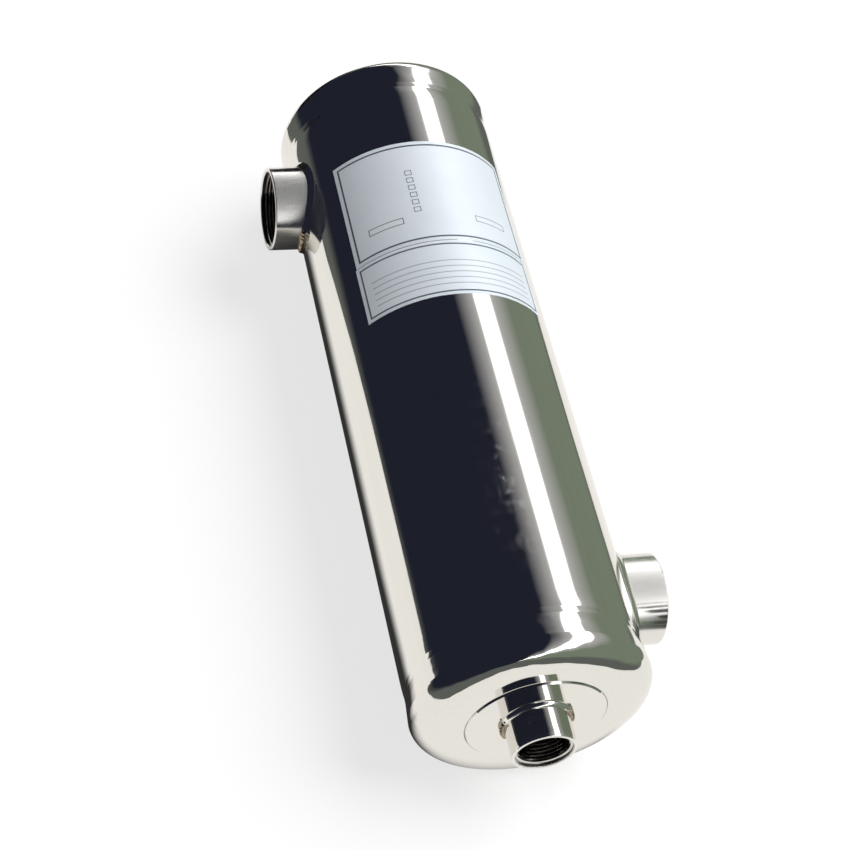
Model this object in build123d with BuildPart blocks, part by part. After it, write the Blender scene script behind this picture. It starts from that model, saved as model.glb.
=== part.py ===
from build123d import *
from math import cos, radians, sin, sqrt, tan
import os

# Shell and tube heat exchanger, in millimetres. It lies along Y with its side ports level along X.
# The origin is the centre of the near end coupling's mouth, and +Z is up.

# Shell and end caps
shell_od = 139.7
sheet = 2.0
face_to_face = 467.0
cap_depth = 30.0
cap_flare = 0.7
knuckle_reach = 21.0
knuckle_depth = 13.5
disc_radius = 40.3
disc_rise = 1.0
seam_width = 4.0
seam_crown = 0.03
seam_sink = 0.45
sink_length = 10.0

# End couplings, for 1 inch pipe thread
end_thread = 33.3
end_wall = 2.35
end_length = 20.2

# Side couplings, for 1 1/2 inch pipe thread
side_thread = 48.3
side_wall = 2.85
side_length = 19.65
side_setback = 73.5

# Holes under the couplings, coupling edges and the weld beads at their feet
hole_margin = 0.25
mouth_chamfer = 0.5
mouth_round = 0.6
end_bead = 2.4
side_bead = 3.2
bead_bulge = 0.4

# Tube bundle
tube_od = 19.05
tube_wall = 1.0
tube_overhang = 1.5
tube_clearance = 0.15
tubes_per_row = [3, 4, 5, 4, 3]
bundle_margin = 7.525
sheet_plate = 6.0
plate_clearance = 0.2
baffle_plate = 2.0
baffle_count = 4
baffle_clearance = 0.5
rod_diameter = 6.0
rod_inset = 5.85
rod_angles = [75, 105, 255, 285]
rod_tail = 8.0

# Sizes that follow
shell_radius = shell_od / 2
shell_inside = shell_radius - sheet
rim_radius = shell_radius + cap_flare
seam_radius = shell_radius - seam_sink
seam_inside = seam_radius - sheet
end_od = end_thread + 2 * end_wall
end_hole = end_thread + 2 * hole_margin
side_od = side_thread + 2 * side_wall
side_hole = side_thread + 2 * hole_margin
side_reach = shell_radius + side_length
overall_length = face_to_face + 2 * end_length
middle = overall_length / 2
near_face = end_length
near_seam = near_face + cap_depth
side_port = near_face + side_setback
plate_face = near_seam + sheet_plate / 2
widest_row = max(tubes_per_row)
tube_pitch = 2 * (shell_inside - bundle_margin - tube_od / 2) / (widest_row - 1)
row_height = tube_pitch * sqrt(3) / 2
rod_circle = shell_inside - rod_inset
plate_hole = tube_od / 2 + tube_clearance
baffle_cut = 1.5 * tube_pitch
baffle_step = (overall_length - 2 * plate_face) / (baffle_count + 1)
half_turn = Axis((0, middle, 0), (0, 0, 1))


def at_length(y):
    """Cross-section plane at a distance along the shell. Its normal points to the near end."""
    return Plane(origin=(0, y, 0), x_dir=(1, 0, 0), z_dir=(0, -1, 0))


def row_places(row):
    """Tube centres of one row, as (x, z) in the cross-section."""
    count = tubes_per_row[row]
    height = ((len(tubes_per_row) - 1) / 2 - row) * row_height
    return [((place - (count - 1) / 2) * tube_pitch, height) for place in range(count)]


def tube_places():
    """Tube centres of the whole bundle."""
    return [place for row in range(len(tubes_per_row)) for place in row_places(row)]


def rod_places():
    """Centres of the tie rods, near the shell's wall above and below the tubes."""
    return [(rod_circle * cos(radians(turn)), rod_circle * sin(radians(turn))) for turn in rod_angles]


def cap_line(inset):
    """Half section of an end cap's surface, from the port hole to the seam, as deep as the inset."""
    corner = inset * tan(radians(22.5))
    flat_edge = rim_radius - knuckle_reach
    Polyline(
        (end_hole / 2, inset),
        (disc_radius - corner, inset),
        (disc_radius + disc_rise - corner, disc_rise + inset),
        (flat_edge, disc_rise + inset),
    )
    EllipticalCenterArc(
        (flat_edge, disc_rise + knuckle_depth),
        knuckle_reach - inset,
        knuckle_depth - inset,
        start_angle=270,
        arc_size=90,
    )
    Line(
        (rim_radius - inset, disc_rise + knuckle_depth),
        (seam_radius - inset, cap_depth - seam_width / 2),
    )


def make_end_cap():
    """Drawn cap: a raised flat disc round the port, a knuckle and a skirt that narrows to the shell."""
    section = Plane(origin=(0, near_face, 0), x_dir=(1, 0, 0), z_dir=(0, 0, 1))
    with BuildPart() as cap:
        with BuildSketch(section):
            with BuildLine():
                cap_line(0)
                cap_line(sheet)
                Line((end_hole / 2, 0), (end_hole / 2, sheet))
                seam_edge = cap_depth - seam_width / 2
                Line((seam_radius, seam_edge), (seam_inside, seam_edge))
            make_face()
        revolve(axis=Axis.Y)
    return cap.part


def make_girth_weld():
    """Flat dressed bead that joins a cap to the shell."""
    with BuildPart() as weld:
        with BuildSketch(Plane(origin=(0, near_seam, 0), x_dir=(1, 0, 0), z_dir=(0, 0, 1))):
            with BuildLine():
                Polyline(
                    (seam_radius, -seam_width / 2),
                    (seam_inside, -seam_width / 2),
                    (seam_inside, seam_width / 2),
                    (seam_radius, seam_width / 2),
                )
                ThreePointArc(
                    (seam_radius, seam_width / 2),
                    (seam_radius + seam_crown, 0),
                    (seam_radius, -seam_width / 2),
                )
            make_face()
        revolve(axis=Axis.Y)
    return weld.part


def shell_line(inset):
    """Half section of the shell's surface from its near edge to its middle, as deep as the inset."""
    edge = near_seam + seam_width / 2
    TangentArc(
        (shell_radius - inset, edge + sink_length),
        (seam_radius - inset, edge),
        tangent=(0, -1),
    )
    Line((shell_radius - inset, edge + sink_length), (shell_radius - inset, middle))


def make_shell_tube():
    """Rolled tube, drawn in a little by the seams, with a round hole under each side coupling."""
    edge = near_seam + seam_width / 2
    with BuildPart() as tube:
        with BuildSketch(Plane.XY):
            with BuildLine():
                shell_line(0)
                shell_line(sheet)
                Line((seam_radius, edge), (seam_inside, edge))
                Line((shell_radius, middle), (shell_inside, middle))
            make_face()
        revolve(axis=Axis.Y)
        mirror(about=Plane.XZ.offset(-middle))
        with BuildSketch(Plane.YZ):
            with Locations((side_port, 0)):
                Circle(side_hole / 2)
        extrude(amount=shell_od, mode=Mode.SUBTRACT)
        with BuildSketch(Plane.YZ):
            with Locations((overall_length - side_port, 0)):
                Circle(side_hole / 2)
        extrude(amount=-shell_od, mode=Mode.SUBTRACT)
    return tube.part


def make_end_coupling():
    """Threaded half coupling that stands on the end cap's flat disc."""
    with BuildPart() as coupling:
        with BuildSketch(at_length(0)):
            Circle(end_od / 2)
            Circle(end_thread / 2, mode=Mode.SUBTRACT)
        extrude(amount=-end_length)
        rims = coupling.faces().sort_by(Axis.Y)[0].edges().sort_by(SortBy.LENGTH)
        chamfer(rims[0], length=mouth_chamfer)
        fillet(rims[-1], radius=mouth_round)
    return coupling.part


def make_side_coupling():
    """Threaded half coupling with a saddle foot that sits on the shell."""
    with BuildPart() as coupling:
        with BuildSketch(Plane.YZ.offset(side_reach)):
            with Locations((side_port, 0)):
                Circle(side_od / 2)
                Circle(side_thread / 2, mode=Mode.SUBTRACT)
        extrude(amount=-(side_reach - shell_radius / 2))
        with BuildSketch(at_length(side_port - side_od)):
            Circle(shell_radius)
        extrude(amount=-2 * side_od, mode=Mode.SUBTRACT)
        rims = coupling.faces().sort_by(Axis.X)[-1].edges().sort_by(SortBy.LENGTH)
        chamfer(rims[0], length=mouth_chamfer)
        fillet(rims[-1], radius=mouth_round)
    return coupling.part


def make_end_bead():
    """Weld bead in the corner between the end coupling and the cap's disc."""
    with BuildPart() as bead:
        with BuildSketch(Plane(origin=(end_od / 2, near_face, 0), x_dir=(1, 0, 0), z_dir=(0, 0, 1))):
            with BuildLine():
                Polyline((0, -end_bead), (0, 0), (end_bead, 0))
                bulge = end_bead / 2 + bead_bulge
                ThreePointArc((end_bead, 0), (bulge, -bulge), (0, -end_bead))
            make_face()
        revolve(axis=Axis.Y)
    return bead.part


def make_side_bead():
    """Weld bead that follows the saddle between a side coupling and the shell."""
    with BuildPart() as bead:
        with BuildSketch(at_length(side_port - side_od)):
            # Half a turn puts the circle's seam line on the side away from the bead
            with Locations(Location((0, 0, 0), (0, 0, 180))):
                Circle(shell_radius + side_bead)
        extrude(amount=-2 * side_od)
        with BuildSketch(Plane.YZ.offset(shell_radius / 2)):
            with Locations((side_port, 0)):
                Circle(side_od / 2 + side_bead)
        extrude(amount=shell_radius, mode=Mode.INTERSECT)
        fillet(bead.edges().filter_by(GeomType.BSPLINE), radius=side_bead - bead_bulge)
        with BuildSketch(at_length(side_port - side_od)):
            Circle(shell_radius)
        extrude(amount=-2 * side_od, mode=Mode.SUBTRACT)
        with BuildSketch(Plane.YZ.offset(shell_radius / 2)):
            with Locations((side_port, 0)):
                Circle(side_od / 2)
        extrude(amount=shell_radius, mode=Mode.SUBTRACT)
    return bead.part


def make_tube_sheet():
    """Drilled plate inside the seam that holds the tube ends."""
    with BuildPart() as plate:
        with BuildSketch(at_length(near_seam - sheet_plate / 2)):
            Circle(seam_inside - plate_clearance)
            with Locations(*tube_places()):
                Circle(plate_hole, mode=Mode.SUBTRACT)
        extrude(amount=-sheet_plate)
    return plate.part


def make_tube_row(row):
    """One level row of open tubes from tube sheet to tube sheet."""
    start = near_seam - sheet_plate / 2 - tube_overhang
    with BuildPart() as tubes:
        with BuildSketch(at_length(start)):
            with Locations(*row_places(row)):
                Circle(tube_od / 2)
                Circle(tube_od / 2 - tube_wall, mode=Mode.SUBTRACT)
        extrude(amount=-(overall_length - 2 * start))
    return tubes.part


def make_baffle(number):
    """Segmental plate across the bundle, open on alternate sides, with its holes for tubes and rods."""
    open_side = -1 if number % 2 else 1
    centre = plate_face + number * baffle_step
    with BuildPart() as plate:
        with BuildSketch(at_length(centre - baffle_plate / 2)):
            Circle(shell_inside - baffle_clearance)
            with Locations((open_side * (baffle_cut + shell_od / 2), 0)):
                Rectangle(shell_od, shell_od, mode=Mode.SUBTRACT)
            with Locations(*tube_places()):
                Circle(plate_hole, mode=Mode.SUBTRACT)
            with Locations(*rod_places()):
                Circle(rod_diameter / 2 + tube_clearance, mode=Mode.SUBTRACT)
        extrude(amount=-baffle_plate)
    return plate.part


def make_tie_rods():
    """Rods from the near tube sheet through the baffles, which they hold in place."""
    last_baffle = plate_face + baffle_count * baffle_step
    with BuildPart() as rods:
        with BuildSketch(at_length(plate_face)):
            with Locations(*rod_places()):
                Circle(rod_diameter / 2)
        extrude(amount=-(last_baffle + rod_tail - plate_face))
    return rods.part


pieces = {"shell_tube": make_shell_tube(), "tie_rods": make_tie_rods()}

# Each end piece is made at the near end and stands again, half a turn round, at the far end
end_pieces = {
    "end_cap": make_end_cap(),
    "girth_weld": make_girth_weld(),
    "tube_sheet": make_tube_sheet(),
    "end_coupling": make_end_coupling(),
    "end_weld_bead": make_end_bead(),
    "side_coupling": make_side_coupling(),
    "side_weld_bead": make_side_bead(),
}
for name, piece in end_pieces.items():
    pieces["near_" + name] = piece
    pieces["far_" + name] = piece.rotate(half_turn, 180)

for row in range(len(tubes_per_row)):
    pieces[f"tube_row_{row + 1}"] = make_tube_row(row)
for number in range(1, baffle_count + 1):
    pieces[f"baffle_{number}"] = make_baffle(number)

os.makedirs("parts", exist_ok=True)
for name, piece in pieces.items():
    piece.label = name
    export_step(piece, f"parts/{name}.step")
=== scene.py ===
import bpy, math
from mathutils import Matrix, Vector


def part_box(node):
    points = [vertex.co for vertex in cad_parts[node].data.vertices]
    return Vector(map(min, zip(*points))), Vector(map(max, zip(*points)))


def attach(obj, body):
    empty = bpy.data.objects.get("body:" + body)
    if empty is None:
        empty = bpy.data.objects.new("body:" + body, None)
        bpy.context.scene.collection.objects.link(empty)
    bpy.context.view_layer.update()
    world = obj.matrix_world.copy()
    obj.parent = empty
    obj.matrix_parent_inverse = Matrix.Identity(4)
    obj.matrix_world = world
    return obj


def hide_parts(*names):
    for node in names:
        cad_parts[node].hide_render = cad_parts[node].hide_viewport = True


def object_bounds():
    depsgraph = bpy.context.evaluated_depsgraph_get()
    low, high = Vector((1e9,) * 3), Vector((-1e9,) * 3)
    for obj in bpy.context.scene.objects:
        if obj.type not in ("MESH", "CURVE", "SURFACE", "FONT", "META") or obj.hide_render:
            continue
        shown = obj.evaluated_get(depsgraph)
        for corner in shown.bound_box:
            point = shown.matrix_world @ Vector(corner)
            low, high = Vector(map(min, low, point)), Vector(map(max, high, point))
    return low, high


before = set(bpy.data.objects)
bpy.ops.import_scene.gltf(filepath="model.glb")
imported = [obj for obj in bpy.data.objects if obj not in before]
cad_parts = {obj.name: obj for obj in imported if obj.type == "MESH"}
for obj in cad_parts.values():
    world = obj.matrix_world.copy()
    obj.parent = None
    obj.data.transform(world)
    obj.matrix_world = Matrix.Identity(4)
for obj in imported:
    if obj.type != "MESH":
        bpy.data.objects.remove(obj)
cad_low, cad_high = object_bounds()
bpy.context.scene.view_settings.view_transform = "Standard"

# Camera. It stands over the near end, left of the shell, and looks down along the tube at the height
# and distance that give the photograph's outline in its square frame.
camera_place = Vector((-0.3586, -0.5080, 0.9944))
camera_ahead = Vector((0.2631, 0.5752, -0.7746)).normalized()
camera_up = Vector((0.0533, 0.7930, 0.6069))
camera_data = bpy.data.cameras.new("camera")
camera_data.lens = 88.47
camera_data.sensor_width = 36.0
camera = bpy.data.objects.new("camera", camera_data)
bpy.context.scene.collection.objects.link(camera)
camera_right = camera_ahead.cross(camera_up).normalized()
camera_top = camera_right.cross(camera_ahead)
camera_turn = Matrix((camera_right, camera_top, -camera_ahead)).transposed()
camera.matrix_world = Matrix.Translation(camera_place) @ camera_turn.to_4x4()
bpy.context.scene.camera = camera

# Floor. A white board that the exchanger lies on, wide enough to run out of every view. The camera sees
# it plain white with a light shadow. The polished steel mirrors a smaller sheet of paper instead.
floor_height = cad_low[2]
white_floor = bpy.data.materials.new("white_floor")
white_floor.use_nodes = True
floor_nodes, floor_links = white_floor.node_tree.nodes, white_floor.node_tree.links
floor_shader = floor_nodes["Principled BSDF"]
floor_shader.inputs["Roughness"].default_value = 0.9
floor_shader.inputs["Specular IOR Level"].default_value = 0.0
floor_seen_by = floor_nodes.new("ShaderNodeLightPath")
for socket, to_others, to_camera in (("Base Color", 0.96, 0.3), ("Emission Strength", 0.0, 0.73)):
    floor_part = floor_nodes.new("ShaderNodeMapRange")
    floor_part.inputs["To Min"].default_value = to_others
    floor_part.inputs["To Max"].default_value = to_camera
    floor_links.new(floor_seen_by.outputs["Is Camera Ray"], floor_part.inputs["Value"])
    floor_links.new(floor_part.outputs["Result"], floor_shader.inputs[socket])
floor_shader.inputs["Emission Color"].default_value = (1.0, 1.0, 1.0, 1.0)
bpy.ops.object.select_all(action="DESELECT")
bpy.ops.mesh.primitive_plane_add(size=8.0, location=(0.0, 0.25, floor_height))
floor = bpy.context.object
floor.name = "floor"
bpy.ops.object.transform_apply(location=True, rotation=True, scale=True)
floor.data.materials.append(white_floor)
floor.visible_glossy = False

# Paper. The pale sheet under the exchanger, for mirror rays alone: rounded at its corners, with a tongue
# that runs out in front of the near end. It glows with its own painted light, and a painted shadow, as from
# a light on the right, makes it dark under the shell and for a hand's breadth to its left.
paper_outline = [
    (-0.317, 0.18), (-0.320, 0.30), (-0.311, 0.40), (-0.285, 0.455), (-0.250, 0.495),
    (-0.200, 0.525), (-0.160, 0.560), (-0.170, 0.640), (-0.150, 0.760), (0.080, 0.780),
    (0.130, 0.640), (0.150, 0.570), (0.217, 0.517), (0.267, 0.440), (0.283, 0.350),
    (0.272, 0.240), (0.262, 0.170), (0.310, 0.070), (0.325, 0.000), (0.225, -0.060),
    (0.150, -0.100), (0.105, -0.165), (0.068, -0.250), (0.050, -0.320), (-0.040, -0.330),
    (-0.055, -0.260), (-0.105, -0.110), (-0.160, -0.090), (-0.233, -0.050), (-0.278, 0.030),
]
paper_white = bpy.data.materials.new("white_paper")
paper_white.use_nodes = True
paper_nodes, paper_links = paper_white.node_tree.nodes, paper_white.node_tree.links
paper_shader = paper_nodes["Principled BSDF"]
paper_shader.inputs["Roughness"].default_value = 0.9
paper_shader.inputs["Specular IOR Level"].default_value = 0.0
paper_place = paper_nodes.new("ShaderNodeSeparateXYZ")
paper_links.new(paper_nodes.new("ShaderNodeTexCoord").outputs["Object"], paper_place.inputs["Vector"])
across_shell, along_shell = paper_place.outputs["X"], paper_place.outputs["Y"]
wider_shadow = paper_nodes.new("ShaderNodeMapRange")
wider_shadow.inputs["From Min"].default_value = 0.17
wider_shadow.inputs["From Max"].default_value = 0.07
wider_shadow.inputs["To Max"].default_value = 0.01
paper_links.new(along_shell, wider_shadow.inputs["Value"])
shadow_side = paper_nodes.new("ShaderNodeMath")
paper_links.new(across_shell, shadow_side.inputs[0])
paper_links.new(wider_shadow.outputs["Result"], shadow_side.inputs[1])
# Painted shadow: the paper's colour runs from a dark shadow tone to a lit tone by place.
shadow_tone, lit_tone = (0.035, 0.035, 0.035, 1.0), (1.0, 0.985, 0.945, 1.0)
paper_lit = None
for place, dark, lit in (
    (shadow_side.outputs["Value"], -0.083, -0.125),
    (across_shell, 0.045, 0.085),
    (along_shell, 0.045, 0.005),
    (along_shell, 0.455, 0.52),
):
    out_of_shadow = paper_nodes.new("ShaderNodeMapRange")
    out_of_shadow.interpolation_type = "SMOOTHSTEP"
    out_of_shadow.inputs["From Min"].default_value = dark
    out_of_shadow.inputs["From Max"].default_value = lit
    paper_links.new(place, out_of_shadow.inputs["Value"])
    if paper_lit is None:
        paper_lit = out_of_shadow.outputs["Result"]
    else:
        brighter = paper_nodes.new("ShaderNodeMath")
        brighter.operation = "MAXIMUM"
        paper_links.new(paper_lit, brighter.inputs[0])
        paper_links.new(out_of_shadow.outputs["Result"], brighter.inputs[1])
        paper_lit = brighter.outputs["Value"]
paper_tone = paper_nodes.new("ShaderNodeMix")
paper_tone.data_type = "RGBA"
paper_tone.inputs[6].default_value = shadow_tone
paper_tone.inputs[7].default_value = lit_tone
paper_links.new(paper_lit, paper_tone.inputs["Factor"])
paper_links.new(paper_tone.outputs[2], paper_shader.inputs["Base Color"])
# The same painted tones also glow, as painted light on the paper.
paper_links.new(paper_tone.outputs[2], paper_shader.inputs["Emission Color"])
paper_shader.inputs["Emission Strength"].default_value = 0.8
bpy.ops.object.select_all(action="DESELECT")
bpy.ops.mesh.primitive_circle_add(vertices=len(paper_outline), fill_type="NGON")
paper = bpy.context.object
paper.name = "paper"
for corner, (right, far) in zip(paper.data.vertices, paper_outline):
    corner.co = (right, far, floor_height)
paper.data.materials.append(paper_white)
paper.visible_camera = False
paper.visible_diffuse = False
paper.visible_transmission = False
paper.visible_shadow = False

# Dark cards. One made of slats stands in front of the near side coupling and a plain one beyond the far
# side coupling, so that each has dark bands in its bright steel. Only mirror rays meet them, on the face
# towards the coupling.
card_black = bpy.data.materials.new("black_card")
card_black.use_nodes = True
card_shader = card_black.node_tree.nodes["Principled BSDF"]
card_shader.inputs["Base Color"].default_value = (0.03, 0.028, 0.03, 1.0)
card_shader.inputs["Roughness"].default_value = 0.9
card_shader.inputs["Specular IOR Level"].default_value = 0.0
card_nodes = card_black.node_tree.nodes
card_face = card_nodes.new("ShaderNodeMixShader")
for outlet, inlet in (
    (card_nodes.new("ShaderNodeNewGeometry").outputs["Backfacing"], card_face.inputs["Fac"]),
    (card_shader.outputs["BSDF"], card_face.inputs[1]),
    (card_nodes.new("ShaderNodeBsdfTransparent").outputs["BSDF"], card_face.inputs[2]),
    (card_face.outputs["Shader"], card_nodes["Material Output"].inputs["Surface"]),
):
    card_black.node_tree.links.new(outlet, inlet)
# Low and high edges of the slats. In the rows below them, the order of x turns each card's face.
near_slats = [
    (-0.003, 0.0045), (0.0075, 0.0135), (0.0165, 0.024), (0.029, 0.0365), (0.041, 0.0465), (0.0555, 0.058),
]
for name, first_x, last_x, sheet_y, strips in (
    ("near_slats", 0.118, 0.088, 0.045, near_slats),
    ("far_card", -0.15, -0.02, 0.56, [(-0.012, 0.046)]),
):
    for row, (strip_low, strip_high) in enumerate(strips):
        bpy.ops.object.select_all(action="DESELECT")
        bpy.ops.mesh.primitive_plane_add(size=1.0)
        card = bpy.context.object
        card.name = "%s_%d" % (name, row + 1)
        for corner in card.data.vertices:
            card_x = first_x + (corner.co.x + 0.5) * (last_x - first_x)
            card_z = strip_low + (corner.co.y + 0.5) * (strip_high - strip_low)
            corner.co = (card_x, sheet_y, card_z)
        card.data.materials.append(card_black)
        card.visible_camera = False
        card.visible_diffuse = False
        card.visible_transmission = False
        card.visible_shadow = False

# Room. The camera sees even white, and plain surfaces are lit by it and by a broad soft lamp from the
# upper right. The steel mirrors a plain dim room: a low floor, a grey wall on the right with one strip of
# window over it, and an unlit corner on the left. Each surface has one tone.
world = bpy.data.worlds.new("room")
bpy.context.scene.world = world
world.use_nodes = True
room_nodes = world.node_tree.nodes
room_links = world.node_tree.links
room_nodes.clear()
mirror_steel_colour = (0.82, 0.805, 0.775, 1.0)
unlit_corner = (0.015, 0.017, 0.03, 1.0)
low_floor = (0.12, 0.13, 0.12, 1.0)
grey_wall = (0.2, 0.24, 0.18, 1.0)
pale_frame = (0.5, 0.5, 0.5, 1.0)
window = (4.0, 4.0, 4.0, 1.0)
# Degrees round the shell's axis, from level on the right through straight up.
room_surfaces = [
    (-180, unlit_corner), (-165, unlit_corner), (-155, low_floor), (-30, low_floor),
    (-20, grey_wall), (20, grey_wall), (40, pale_frame), (44, window),
    (56, window), (60, pale_frame), (80, unlit_corner), (180, unlit_corner),
]
direction = room_nodes.new("ShaderNodeTexCoord")
parts_of_direction = room_nodes.new("ShaderNodeSeparateXYZ")
room_links.new(direction.outputs["Generated"], parts_of_direction.inputs["Vector"])
height_angle = room_nodes.new("ShaderNodeMath")
height_angle.operation = "ARCTAN2"
room_links.new(parts_of_direction.outputs["Z"], height_angle.inputs[0])
room_links.new(parts_of_direction.outputs["X"], height_angle.inputs[1])
as_share = room_nodes.new("ShaderNodeMapRange")
as_share.inputs["From Min"].default_value = -math.pi
as_share.inputs["From Max"].default_value = math.pi
room_links.new(height_angle.outputs["Value"], as_share.inputs["Value"])
room_ramp = room_nodes.new("ShaderNodeValToRGB")
room_links.new(as_share.outputs["Result"], room_ramp.inputs["Fac"])
while len(room_ramp.color_ramp.elements) < len(room_surfaces):
    room_ramp.color_ramp.elements.new(0.5)
for element, (angle, tone) in zip(room_ramp.color_ramp.elements, room_surfaces):
    element.position = (angle + 180) / 360
    element.color = tone
seen_by = room_nodes.new("ShaderNodeLightPath")
mirror_light = room_nodes.new("ShaderNodeBackground")
room_links.new(room_ramp.outputs["Color"], mirror_light.inputs["Color"])
plain_light = room_nodes.new("ShaderNodeBackground")
plain_light.inputs["Color"].default_value = (1.0, 1.0, 1.0, 1.0)
plain_strength = room_nodes.new("ShaderNodeMapRange")
plain_strength.inputs["To Min"].default_value = 0.17
plain_strength.inputs["To Max"].default_value = 1.0
room_links.new(seen_by.outputs["Is Camera Ray"], plain_strength.inputs["Value"])
room_links.new(plain_strength.outputs["Result"], plain_light.inputs["Strength"])
choose = room_nodes.new("ShaderNodeMixShader")
room_links.new(seen_by.outputs["Is Glossy Ray"], choose.inputs["Fac"])
room_links.new(plain_light.outputs["Background"], choose.inputs[1])
room_links.new(mirror_light.outputs["Background"], choose.inputs[2])
room_output = room_nodes.new("ShaderNodeOutputWorld")
room_links.new(choose.outputs["Shader"], room_output.inputs["Surface"])
lamp_data = bpy.data.lights.new("window_lamp", "SUN")
lamp_data.energy = 0.9 * math.pi
lamp_data.angle = math.radians(40)
lamp = bpy.data.objects.new("window_lamp", lamp_data)
bpy.context.scene.collection.objects.link(lamp)
lamp_toward = Vector((0.5, 0.05, 0.86))
lamp.matrix_world = lamp_toward.to_track_quat("Z", "Y").to_matrix().to_4x4()
lamp.visible_glossy = False

# Shell, caps and seams. Rolled and drawn stainless sheet, welded and polished together to a mirror, with
# faint lines along the tube, dull patches and a mottled haze from handling near its top, and waves in the
# drawn caps. A thin dark line is painted round the edge of each cap's disc, as painted shade in its step.


def new_steel(name, colour, roughness):
    """A metal with its colour and roughness, as (material, shader)."""
    steel = bpy.data.materials.new(name)
    steel.use_nodes = True
    shader = steel.node_tree.nodes["Principled BSDF"]
    shader.inputs["Base Color"].default_value = colour
    shader.inputs["Metallic"].default_value = 1.0
    shader.inputs["Roughness"].default_value = roughness
    return steel, shader


def add_node(steel, kind, **settings):
    """A node of the material, with its settings and the values or links of its inputs."""
    node = steel.node_tree.nodes.new(kind)
    inputs = settings.pop("inputs", {})
    for name, value in settings.items():
        setattr(node, name, value)
    for name, value in inputs.items():
        if isinstance(value, bpy.types.NodeSocket):
            steel.node_tree.links.new(value, node.inputs[name])
        else:
            node.inputs[name].default_value = value
    return node


def grain(steel, scale, stretch=(1.0, 1.0, 1.0), detail=2.0):
    """Noise in the piece's own place, stretched along the axes by dividing each, as a value near 0.5."""
    place = add_node(steel, "ShaderNodeTexCoord")
    mapping = add_node(
        steel, "ShaderNodeMapping", inputs={"Vector": place.outputs["Object"], "Scale": stretch}
    )
    noise = add_node(
        steel,
        "ShaderNodeTexNoise",
        inputs={"Vector": mapping.outputs["Vector"], "Scale": scale, "Detail": detail},
    )
    return noise.outputs["Fac"]


def spread(steel, value, low, high, to_low, to_high, smooth=False):
    """A value's range moved to another, kept between its ends."""
    ranged = add_node(
        steel,
        "ShaderNodeMapRange",
        interpolation_type="SMOOTHSTEP" if smooth else "LINEAR",
        inputs={"Value": value, "From Min": low, "From Max": high, "To Min": to_low, "To Max": to_high},
    )
    return ranged.outputs["Result"]


def combine(steel, how, first, second):
    """Two values added, multiplied or compared."""
    return add_node(steel, "ShaderNodeMath", operation=how, inputs={0: first, 1: second}).outputs["Value"]


def distance_off_axis(steel, place):
    """How far a place is from the shell's axis."""
    flat = add_node(steel, "ShaderNodeMapping", inputs={"Vector": place, "Scale": (1.0, 0.0, 1.0)})
    inputs = {0: flat.outputs["Vector"]}
    return add_node(steel, "ShaderNodeVectorMath", operation="LENGTH", inputs=inputs).outputs["Value"]


def distance_from(steel, value, middle):
    """How far a value is from a middle one, either way."""
    return combine(steel, "ABSOLUTE", combine(steel, "SUBTRACT", value, middle), 0.0)


def tint_between(steel, value, first, second):
    """A colour between two, by a value."""
    return add_node(
        steel, "ShaderNodeMix", data_type="RGBA", inputs={0: value, 6: first, 7: second}
    ).outputs[2]


def finish_node(name, steel):
    """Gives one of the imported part's nodes its metal."""
    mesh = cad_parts[name].data
    mesh.materials.clear()
    mesh.materials.append(steel)


middle_of_shell, seam_off_middle, disc_radius = 0.2537, 0.2085, 0.0411
shell_steel, shell_shader = new_steel("polished_shell_steel", mirror_steel_colour, 0.05)
shell_links = shell_steel.node_tree.links
polish_lines = grain(shell_steel, 420.0, stretch=(1.0, 0.02, 1.0), detail=3.0)
dull_patches = spread(shell_steel, grain(shell_steel, 26.0, detail=4.0), 0.52, 0.72, 0.0, 0.035)
shell_place = add_node(shell_steel, "ShaderNodeTexCoord").outputs["Object"]
shell_axes = add_node(shell_steel, "ShaderNodeSeparateXYZ", inputs={"Vector": shell_place})
round_shell = add_node(
    shell_steel,
    "ShaderNodeMath",
    operation="ARCTAN2",
    inputs={0: shell_axes.outputs["Z"], 1: shell_axes.outputs["X"]},
).outputs["Value"]
haze_round = combine(
    shell_steel,
    "MULTIPLY",
    spread(shell_steel, round_shell, math.radians(86), math.radians(93), 0.0, 1.0, smooth=True),
    spread(shell_steel, round_shell, math.radians(102), math.radians(114), 1.0, 0.0, smooth=True),
)
haze_along = combine(
    shell_steel,
    "MULTIPLY",
    spread(shell_steel, shell_axes.outputs["Y"], 0.06, 0.10, 0.0, 1.0, smooth=True),
    spread(shell_steel, shell_axes.outputs["Y"], 0.15, 0.25, 1.0, 0.0, smooth=True),
)
from_middle = distance_from(shell_steel, shell_axes.outputs["Y"], middle_of_shell)
off_seam = distance_from(shell_steel, from_middle, seam_off_middle)
dressed_seam = spread(shell_steel, off_seam, 0.002, 0.008, 0.05, 0.0, smooth=True)
smudges = grain(shell_steel, 85.0, stretch=(0.8, 1.9, 0.8), detail=6.0)
haze_mottle = spread(shell_steel, smudges, 0.36, 0.58, 0.1, 1.0, smooth=True)
haze = combine(
    shell_steel, "MULTIPLY", combine(shell_steel, "MULTIPLY", haze_round, haze_along), haze_mottle
)
wisp_grain = grain(shell_steel, 240.0, stretch=(1.0, 0.4, 1.0), detail=6.0)
wisps = spread(shell_steel, wisp_grain, 0.38, 0.66, 0.04, 0.22)
shell_roughness = combine(
    shell_steel,
    "ADD",
    combine(shell_steel, "ADD", spread(shell_steel, polish_lines, 0.3, 0.7, 0.03, 0.07), dull_patches),
    combine(
        shell_steel,
        "ADD",
        combine(shell_steel, "MULTIPLY", haze, wisps),
        combine(shell_steel, "MULTIPLY", dressed_seam, smudges),
    ),
)
shell_links.new(shell_roughness, shell_shader.inputs["Roughness"])
off_axis = distance_off_axis(shell_steel, shell_place)
# A thin dark line painted round the edge of each cap's disc, as painted shade in its step.
off_disc_edge = distance_from(shell_steel, off_axis, disc_radius)
painted_disc_step_shade = spread(shell_steel, off_disc_edge, 0.0002, 0.00042, 0.85, 0.0)
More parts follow.
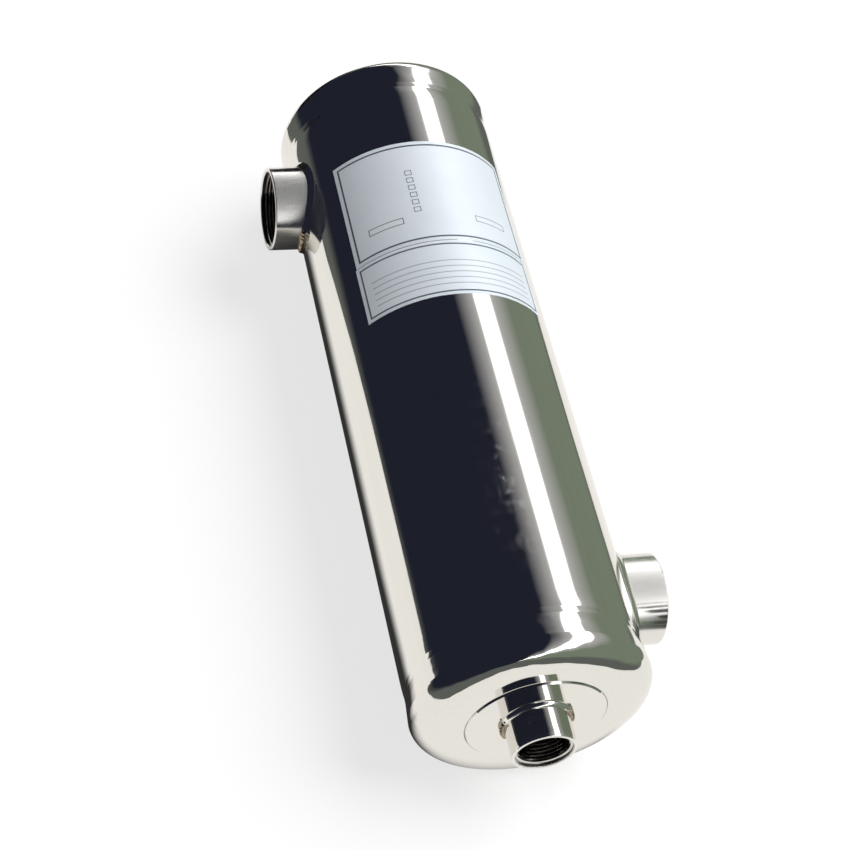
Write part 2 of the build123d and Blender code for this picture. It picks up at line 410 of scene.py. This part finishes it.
painted_disc_step_shade = combine(
    shell_steel, "MULTIPLY", painted_disc_step_shade, spread(shell_steel, grain(shell_steel, 60.0), 0.35, 0.5, 0.35, 1.0)
)
lined_colour = tint_between(
    shell_steel,
    spread(shell_steel, polish_lines, 0.3, 0.7, 0.0, 1.0),
    mirror_steel_colour,
    (0.79, 0.775, 0.745, 1.0),
)
shell_links.new(
    tint_between(shell_steel, painted_disc_step_shade, lined_colour, (0.1, 0.1, 0.09, 1.0)),
    shell_shader.inputs["Base Color"],
)
shell_wave = add_node(
    shell_steel,
    "ShaderNodeBump",
    inputs={
        "Height": grain(shell_steel, 14.0, stretch=(1.0, 0.35, 1.0), detail=1.0),
        "Strength": 1.0,
        "Distance": 0.00006,
    },
)
drawn_part = combine(
    shell_steel,
    "MULTIPLY",
    spread(shell_steel, from_middle, 0.19, 0.206, 0.0, 1.0, smooth=True),
    spread(shell_steel, off_axis, 0.052, 0.065, 0.0, 1.0, smooth=True),
)
drawn_wave = add_node(
    shell_steel,
    "ShaderNodeBump",
    inputs={
        "Height": combine(shell_steel, "MULTIPLY", grain(shell_steel, 75.0, detail=1.0), drawn_part),
        "Strength": 1.0,
        "Distance": 0.00034,
        "Normal": shell_wave.outputs["Normal"],
    },
)
shell_links.new(drawn_wave.outputs["Normal"], shell_shader.inputs["Normal"])
for name in ("shell_tube", "near_end_cap", "far_end_cap", "near_girth_weld", "far_girth_weld"):
    finish_node(name, shell_steel)

# End couplings. Threaded half couplings of stainless bar, one in the middle of each cap, turned and
# then polished with the cap. The bevel at the mouth is left as cut, and the bore behind it is painted
# dark as painted shade.
end_bore = 0.01665
painted_bore_shade, bright_lip = (0.12, 0.1, 0.1, 1.0), 0.8
end_coupling_steel, end_coupling_shader = new_steel("polished_coupling_steel", mirror_steel_colour, 0.06)
turned_rings = grain(end_coupling_steel, 900.0, stretch=(0.05, 1.0, 0.05), detail=2.0)
end_place = add_node(end_coupling_steel, "ShaderNodeTexCoord").outputs["Object"]
end_off_axis = distance_off_axis(end_coupling_steel, end_place)
cut_edge = combine(
    end_coupling_steel,
    "MULTIPLY",
    spread(end_coupling_steel, end_off_axis, end_bore - 0.00005, end_bore + 0.00005, 0.0, 1.0),
    spread(end_coupling_steel, end_off_axis, end_bore + 0.00045, end_bore + 0.00055, 0.5, 0.0),
)
end_coupling_steel.node_tree.links.new(
    combine(
        end_coupling_steel, "ADD", spread(end_coupling_steel, turned_rings, 0.3, 0.7, 0.04, 0.1), cut_edge
    ),
    end_coupling_shader.inputs["Roughness"],
)
end_along = add_node(end_coupling_steel, "ShaderNodeSeparateXYZ", inputs={"Vector": end_place}).outputs["Y"]
end_from_middle = distance_from(end_coupling_steel, end_along, middle_of_shell)
# Painted shade: dark inside the bore, lifted most of the way to the steel's colour near the mouth.
end_coupling_steel.node_tree.links.new(
    tint_between(
        end_coupling_steel,
        combine(
            end_coupling_steel,
            "MAXIMUM",
            spread(end_coupling_steel, end_off_axis, end_bore + 0.00002, end_bore + 0.0001, 0.0, 1.0),
            spread(end_coupling_steel, end_from_middle, 0.2502, 0.2512, 0.0, bright_lip),
        ),
        painted_bore_shade,
        mirror_steel_colour,
    ),
    end_coupling_shader.inputs["Base Color"],
)
for name in ("near_end_coupling", "far_end_coupling"):
    finish_node(name, end_coupling_steel)

# Side couplings. The larger half couplings, turned and lightly buffed: lathe rings too fine to see
# spread each reflection along the coupling and leave it sharp round it.
side_bore = 0.02415
near_port_length = (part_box("near_side_coupling")[0].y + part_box("near_side_coupling")[1].y) / 2
far_port_length = (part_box("far_side_coupling")[0].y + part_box("far_side_coupling")[1].y) / 2
for name, port_length in (("near_side_coupling", near_port_length), ("far_side_coupling", far_port_length)):
    turned_steel, turned_shader = new_steel("turned_" + name + "_steel", mirror_steel_colour, 0.25)
    turned_shader.inputs["Anisotropic"].default_value = 0.9
    turned_shader.inputs["Anisotropic Rotation"].default_value = 0.25
    turned_links = turned_steel.node_tree.links
    from_port = add_node(
        turned_steel,
        "ShaderNodeMapping",
        inputs={
            "Vector": add_node(turned_steel, "ShaderNodeTexCoord").outputs["Object"],
            "Location": (0.0, -port_length, 0.0),
        },
    )
    round_port = add_node(
        turned_steel,
        "ShaderNodeVectorMath",
        operation="CROSS_PRODUCT",
        inputs={0: (1.0, 0.0, 0.0), 1: from_port.outputs["Vector"]},
    )
    turned_links.new(round_port.outputs["Vector"], turned_shader.inputs["Tangent"])
    buffed = grain(turned_steel, 220.0, stretch=(0.1, 1.0, 1.0), detail=2.0)
    turned_links.new(spread(turned_steel, buffed, 0.3, 0.7, 0.23, 0.26), turned_shader.inputs["Roughness"])
    off_port = add_node(
        turned_steel, "ShaderNodeVectorMath", operation="LENGTH", inputs={0: round_port.outputs["Vector"]}
    ).outputs["Value"]
    # Painted shade: the steel inside the bore is painted dark.
    turned_links.new(
        tint_between(
            turned_steel,
            spread(turned_steel, off_port, side_bore + 0.00002, side_bore + 0.0001, 0.0, 1.0),
            (0.1, 0.085, 0.085, 1.0),
            mirror_steel_colour,
        ),
        turned_shader.inputs["Base Color"],
    )
    finish_node(name, turned_steel)

# Pipe threads. Each coupling is tapped right through: a sharp ridge winds round the bore, and fades into
# the wall where the tap starts and stops. The cut steel is duller than the outside, painted light on its
# crests as a painted highlight and dark in its roots as painted shade.
thread_pitch = 0.00221
thread_depth = 0.0014
thread_steel, thread_shader = new_steel("cut_thread_steel", (0.56, 0.53, 0.5, 1.0), 0.16)
painted_crest_light = add_node(thread_steel, "ShaderNodeAttribute", attribute_name="crest").outputs["Fac"]
thread_steel.node_tree.links.new(
    spread(thread_steel, grain(thread_steel, 300.0), 0.3, 0.7, 0.12, 0.2), thread_shader.inputs["Roughness"]
)
# Painted highlight on the crests, and painted shade in the roots and where the ridge sinks into the wall.
thread_steel.node_tree.links.new(
    tint_between(
        thread_steel,
        combine(
            thread_steel,
            "MULTIPLY",
            spread(thread_steel, painted_crest_light, 0.15, 0.4, 0.0, 1.0),
            spread(thread_steel, grain(thread_steel, 160.0, detail=3.0), 0.35, 0.65, 0.7, 1.0),
        ),
        (0.1, 0.085, 0.085, 1.0),
        (0.7, 0.68, 0.65, 1.0),
    ),
    thread_shader.inputs["Base Color"],
)


def wind_thread(name, mouth, inward, bore, length):
    """The ridge of one coupling's thread, from just inside its mouth, along its bore."""
    into_wall = 0.0003
    crest = 0.12 * thread_pitch
    half_root = 0.46 * thread_pitch
    section = [
        (bore + into_wall, -half_root),
        (bore - thread_depth, -crest),
        (bore - thread_depth, crest),
        (bore + into_wall, half_root),
    ]
    bpy.ops.object.select_all(action="DESELECT")
    bpy.ops.mesh.primitive_circle_add(vertices=4, radius=thread_depth, location=(0.0, 0.0, 0.0))
    thread = bpy.context.object
    thread.name = name
    for corner, (out, along) in zip(thread.data.vertices, section):
        corner.co = (out, 0.0, along)
    turns = int(length / thread_pitch) - 1
    winding = thread.modifiers.new("winding", "SCREW")
    winding.axis = "Z"
    winding.screw_offset = thread_pitch
    winding.iterations = turns
    winding.steps = 80
    winding.render_steps = 80
    winding.use_smooth_shade = True
    bpy.ops.object.modifier_apply(modifier=winding.name)
    bpy.ops.object.mode_set(mode="EDIT")
    bpy.ops.mesh.select_all(action="SELECT")
    bpy.ops.mesh.remove_doubles(threshold=1e-6)
    bpy.ops.mesh.fill_holes(sides=4)
    bpy.ops.mesh.normals_make_consistent(inside=False)
    bpy.ops.object.mode_set(mode="OBJECT")
    # The crest attribute marks where the thread is painted light as a painted highlight; the rest stays
    # painted dark as painted shade.
    crest_light_mark = thread.data.attributes.new("crest", "FLOAT", "POINT")
    for corner, mark in zip(thread.data.vertices, crest_light_mark.data):
        turn = math.atan2(corner.co.y, corner.co.x) / (2 * math.pi)
        wound = round(corner.co.z / thread_pitch - turn) + turn
        cut = min(1.0, max(0.0, min(wound, turns - wound) / 0.4))
        out = math.hypot(corner.co.x, corner.co.y)
        if out < bore:
            mark.value = cut
            deeper = (1.0 - cut) * (bore + into_wall / 2 - out)
            corner.co.x *= (out + deeper) / out
            corner.co.y *= (out + deeper) / out
    start = Vector(mouth) + Vector(inward) * (thread_pitch * 0.62)
    turned = Vector(inward).to_track_quat("Z", "Y").to_matrix().to_4x4()
    thread.matrix_world = Matrix.Translation(start) @ turned
    bpy.ops.object.transform_apply(location=True, rotation=True, scale=True)
    bpy.ops.object.shade_smooth_by_angle(angle=math.radians(35))
    thread.data.materials.append(thread_steel)
    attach(thread, "root")


end_bore_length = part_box("near_end_coupling")[1].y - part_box("near_end_coupling")[0].y
side_bore_length = 0.0215
overall = cad_high.y
wind_thread("near_end_thread", (0.0, 0.0, 0.0), (0.0, 1.0, 0.0), end_bore, end_bore_length)
wind_thread("far_end_thread", (0.0, overall, 0.0), (0.0, -1.0, 0.0), end_bore, end_bore_length)
wind_thread(
    "near_side_thread", (cad_high.x, near_port_length, 0.0), (-1.0, 0.0, 0.0), side_bore, side_bore_length
)
wind_thread(
    "far_side_thread", (cad_low.x, far_port_length, 0.0), (1.0, 0.0, 0.0), side_bore, side_bore_length
)

# Weld beads. Each coupling is welded all round its foot. Most of the bead has been dressed smooth with
# the shell, and short lengths are left as welded, in small overlapping waves with a straw and grey tint.
weld_steel, weld_shader = new_steel("dressed_weld_steel", mirror_steel_colour, 0.08)
weld_links = weld_steel.node_tree.links
as_welded = add_node(weld_steel, "ShaderNodeAttribute", attribute_name="as_welded").outputs["Fac"]
straw_or_grey = tint_between(
    weld_steel,
    spread(weld_steel, grain(weld_steel, 350.0, detail=3.0), 0.4, 0.6, 0.0, 1.0),
    (0.42, 0.33, 0.22, 1.0),
    (0.2, 0.18, 0.16, 1.0),
)
weld_links.new(
    tint_between(weld_steel, as_welded, mirror_steel_colour, straw_or_grey),
    weld_shader.inputs["Base Color"],
)
weld_links.new(
    combine(
        weld_steel,
        "ADD",
        spread(weld_steel, as_welded, 0.0, 1.0, 0.07, 0.17),
        spread(weld_steel, grain(weld_steel, 600.0), 0.35, 0.65, 0.0, 0.06),
    ),
    weld_shader.inputs["Roughness"],
)


def lay_bead(name, node, foot, outward, radius, leg, raw, shell=None):
    """A bead round a coupling's foot. raw lists the lengths left as welded, as middle and half width."""
    into_metal = 0.00035
    bpy.ops.object.select_all(action="DESELECT")
    bpy.ops.mesh.primitive_torus_add(
        major_radius=radius + leg, minor_radius=leg, major_segments=300, minor_segments=24
    )
    bead = bpy.context.object
    bead.name = name
    welded = bead.data.attributes.new("as_welded", "FLOAT", "POINT")
    across = Vector((0.0, 1.0, 0.0)) if shell else Vector((1.0, 0.0, 0.0))
    for corner, mark in zip(bead.data.vertices, welded.data):
        turn = math.atan2(corner.co.y, corner.co.x)
        section = math.degrees(math.atan2(corner.co.z, math.hypot(corner.co.x, corner.co.y) - radius - leg))
        rough = 0.0
        for middle, half in raw:
            away = abs((math.degrees(turn) - middle + 180) % 360 - 180)
            rough = max(rough, min(1.0, max(0.0, (half - away) / (0.35 * half))))
        rough = rough * rough * (3 - 2 * rough)
        share = ((section + 45) % 360) / 180
        if share <= 1.0:
            out, up = leg * (1 - share), leg * share
            wave = turn * radius / 0.0021 + 0.5 * (2 * share - 1) ** 2 + 0.35 * math.sin(5.3 * turn)
            ripple = abs(math.sin(math.pi * wave))
            bulge = 0.0003 + 0.00006 * math.sin(9 * turn + 1.3) + rough * (0.0002 + 0.00075 * ripple)
            lift = bulge * math.sin(math.pi * share)
            out, up = out + lift, up + lift
        else:
            under = share - 1.0
            sunk = into_metal * math.sin(math.pi * under)
            out, up = leg * max(0.0, 2 * under - 1) - sunk, leg * max(0.0, 1 - 2 * under) - sunk
        place = (radius + out) * (math.cos(turn) * across + math.sin(turn) * Vector((0.0, 0.0, 1.0)))
        height = 0.0 if shell is None else math.sqrt(shell * shell - place.z * place.z) - shell
        corner.co = place + Vector(foot) + Vector(outward) * (height + up)
        mark.value = rough
    bpy.ops.object.mode_set(mode="EDIT")
    bpy.ops.mesh.select_all(action="SELECT")
    bpy.ops.mesh.normals_make_consistent(inside=False)
    bpy.ops.object.mode_set(mode="OBJECT")
    bpy.ops.object.shade_smooth()
    bead.data.materials.append(weld_steel)
    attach(bead, "root")
    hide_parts(node)


end_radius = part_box("near_end_coupling")[1].x
side_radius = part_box("near_side_coupling")[1].z
shell_radius = 0.06985
end_leg, side_leg = 0.0024, 0.0032
lay_bead(
    "near_end_bead", "near_end_weld_bead", (0.0, end_bore_length, 0.0), (0.0, -1.0, 0.0),
    end_radius, end_leg, [(196, 32), (20, 26)],
)
lay_bead(
    "far_end_bead", "far_end_weld_bead", (0.0, overall - end_bore_length, 0.0), (0.0, 1.0, 0.0),
    end_radius, end_leg, [(160, 24), (20, 20)],
)
lay_bead(
    "near_side_bead", "near_side_weld_bead", (shell_radius, near_port_length, 0.0), (1.0, 0.0, 0.0),
    side_radius, side_leg, [(262, 26)], shell=shell_radius,
)
lay_bead(
    "far_side_bead", "far_side_weld_bead", (-shell_radius, far_port_length, 0.0), (-1.0, 0.0, 0.0),
    side_radius, side_leg, [(188, 30)], shell=shell_radius,
)

# Label. Two panels of satin silver film stuck on the shell's top, one below the other, bare but for thin
# printed frames, empty boxes and ruled lines. They follow the shell with their edges slightly proud.
film_thickness, clear_of_shell = 0.00012, 0.00001
label_left, label_right = math.radians(140.8), math.radians(38.5)
film, film_shader = new_steel("satin_label_film", (0.86, 0.93, 1.0, 1.0), 0.5)
film_shader.inputs["Metallic"].default_value = 0.22
film_place = add_node(film, "ShaderNodeUVMap", uv_map="film_mm")
film_axes = add_node(film, "ShaderNodeSeparateXYZ", inputs={"Vector": film_place.outputs["UV"]})
across, along = film_axes.outputs["X"], film_axes.outputs["Y"]


def drawn_box(middle_x, middle_y, half_x, half_y, width):
    """A printed outline in the label's millimetres, 1 on its line."""
    sides = []
    for place, middle, half in ((across, middle_x, half_x), (along, middle_y, half_y)):
        sides.append(combine(film, "SUBTRACT", distance_from(film, place, middle), half))
    off_line = combine(film, "ABSOLUTE", combine(film, "MAXIMUM", sides[0], sides[1]), 0.0)
    return spread(film, off_line, width / 2 - 0.08, width / 2 + 0.08, 1.0, 0.0)


label_width_mm = (label_left - label_right) * (shell_radius + film_thickness) * 1000
label_middle = label_width_mm / 2
upper_low, upper_high = 319.7, 404.2
lower_low, lower_high = 275.8, 319.2
frames = [
    drawn_box(label_middle, (upper_low + upper_high) / 2, label_middle - 3.4, 39.0, 1.25),
    drawn_box(label_middle, (lower_low + lower_high) / 2, label_middle - 3.0, 18.9, 1.1),
]
long_boxes = [drawn_box(26.0, 340.0, 11.5, 2.3, 0.55), drawn_box(97.0, 340.0, 11.5, 2.3, 0.45)]
small_boxes = [drawn_box(48.0, 347.0 + 6.2 * row, 2.0, 1.8, 0.5) for row in range(6)]
printed = frames + long_boxes + small_boxes
ink = printed[0]
for outline in printed[1:]:
    ink = combine(film, "MAXIMUM", ink, outline)
rule_phase = combine(film, "PINGPONG", combine(film, "SUBTRACT", along, 280.0), 2.3)
rules = spread(film, rule_phase, 0.22, 0.38, 1.0, 0.0)
for place, low, high in ((across, 9.0, label_width_mm - 9.0), (along, 281.5, 304.5)):
    rules = combine(film, "MULTIPLY", rules, combine(film, "GREATER_THAN", place, low))
    rules = combine(film, "MULTIPLY", rules, combine(film, "LESS_THAN", place, high))
ink = combine(film, "MAXIMUM", ink, combine(film, "MULTIPLY", rules, 0.6))
bare_film = tint_between(
    film,
    spread(film, grain(film, 40.0, detail=3.0), 0.35, 0.65, 0.0, 1.0),
    (0.87, 0.93, 0.99, 1.0),
    (0.84, 0.91, 0.975, 1.0),
)
film.node_tree.links.new(
    tint_between(film, combine(film, "MULTIPLY", ink, 0.93), bare_film, (0.03, 0.05, 0.08, 1.0)),
    film_shader.inputs["Base Color"],
)
film.node_tree.links.new(
    spread(film, grain(film, 900.0), 0.3, 0.7, 0.5, 0.6), film_shader.inputs["Roughness"]
)
for name, low, high, lean in (
    ("label_upper_film", upper_low, upper_high, 0.0),
    ("label_lower_film", lower_low, lower_high, math.radians(0.7)),
):
    bpy.ops.object.select_all(action="DESELECT")
    bpy.ops.mesh.primitive_grid_add(x_subdivisions=96, y_subdivisions=24, size=1.0)
    panel = bpy.context.object
    panel.name = name
    film_map = panel.data.uv_layers[0]
    film_map.name = "film_mm"
    for loop in panel.data.loops:
        flat = panel.data.vertices[loop.vertex_index].co
        film_map.data[loop.index].uv = (
            (flat.x + 0.5) * label_width_mm, low + (flat.y + 0.5) * (high - low)
        )
    for corner in panel.data.vertices:
        turn = label_left + lean + (corner.co.x + 0.5) * (label_right - label_left)
        length = (low + (corner.co.y + 0.5) * (high - low)) / 1000
        radius = shell_radius + clear_of_shell
        corner.co = (radius * math.cos(turn), length, radius * math.sin(turn))
    thickness = panel.modifiers.new("film", "SOLIDIFY")
    thickness.thickness = film_thickness
    thickness.offset = 1.0
    bpy.ops.object.modifier_apply(modifier=thickness.name)
    bpy.ops.object.shade_smooth_by_angle(angle=math.radians(40))
    panel.data.materials.append(film)
    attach(panel, "root")

# Tube bundle. Nineteen stainless tubes in drilled plates, with baffles on tie rods, all left with a mill
# finish. It shows only through the open couplings.
bundle_steel, bundle_shader = new_steel("mill_bundle_steel", (0.62, 0.61, 0.59, 1.0), 0.35)
mill_lines = grain(bundle_steel, 500.0, stretch=(1.0, 0.05, 1.0), detail=3.0)
bundle_steel.node_tree.links.new(
    spread(bundle_steel, mill_lines, 0.3, 0.7, 0.28, 0.45), bundle_shader.inputs["Roughness"]
)
bundle_steel.node_tree.links.new(
    tint_between(
        bundle_steel,
        spread(bundle_steel, grain(bundle_steel, 45.0, detail=4.0), 0.35, 0.65, 0.0, 1.0),
        (0.64, 0.63, 0.61, 1.0),
        (0.52, 0.51, 0.49, 1.0),
    ),
    bundle_shader.inputs["Base Color"],
)
bundle_names = ["near_tube_sheet", "far_tube_sheet", "tie_rods"]
bundle_names += ["tube_row_%d" % (row + 1) for row in range(5)]
bundle_names += ["baffle_%d" % (plate + 1) for plate in range(4)]
for name in bundle_names:
    finish_node(name, bundle_steel)
